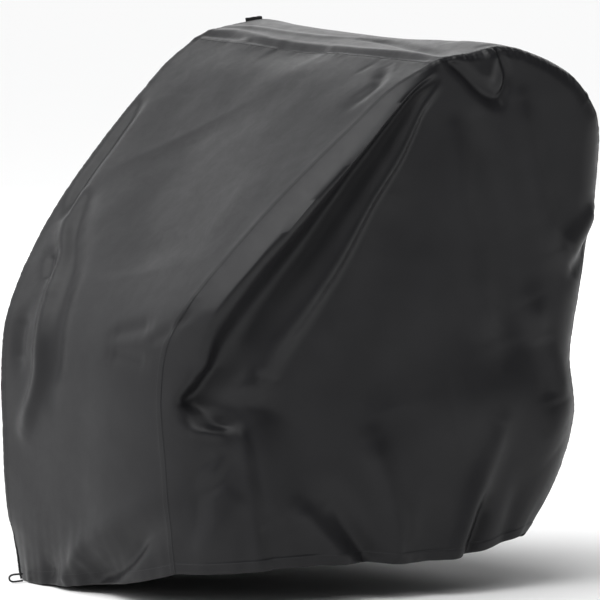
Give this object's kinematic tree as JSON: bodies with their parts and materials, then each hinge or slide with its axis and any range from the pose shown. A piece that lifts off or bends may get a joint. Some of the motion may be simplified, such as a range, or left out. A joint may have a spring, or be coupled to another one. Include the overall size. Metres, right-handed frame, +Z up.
{
  "type": "bike trailer cover",
  "caption": "Fitted cloth storage cover for a child's bicycle trailer: sloping front, short level roof, rounded back, open below, with a hem loop and a bare label tab.",
  "frame": {"origin": "middle of the box around the whole cover, on the plane of the hem's lowest point", "axes": "+Z up, -Y towards the trailer's sloping front, +X towards the trailer's own left side"},
  "size_m": [0.7694, 0.9108, 0.966],
  "materials": {
    "coated_cloth": "dark grey plain-woven polyester with a smooth, faintly glossy coating",
    "cord": "black braided elastic cord, matt",
    "ribbon": "black woven ribbon, matt, bare"
  },
  "bodies": {
    "root": {"side_panel_left": "coated_cloth", "side_panel_right": "coated_cloth", "front_panel": "coated_cloth", "roof_and_back_panel": "coated_cloth", "hem_loop": "cord", "label_tab": "ribbon"}
  },
  "joints": []
}
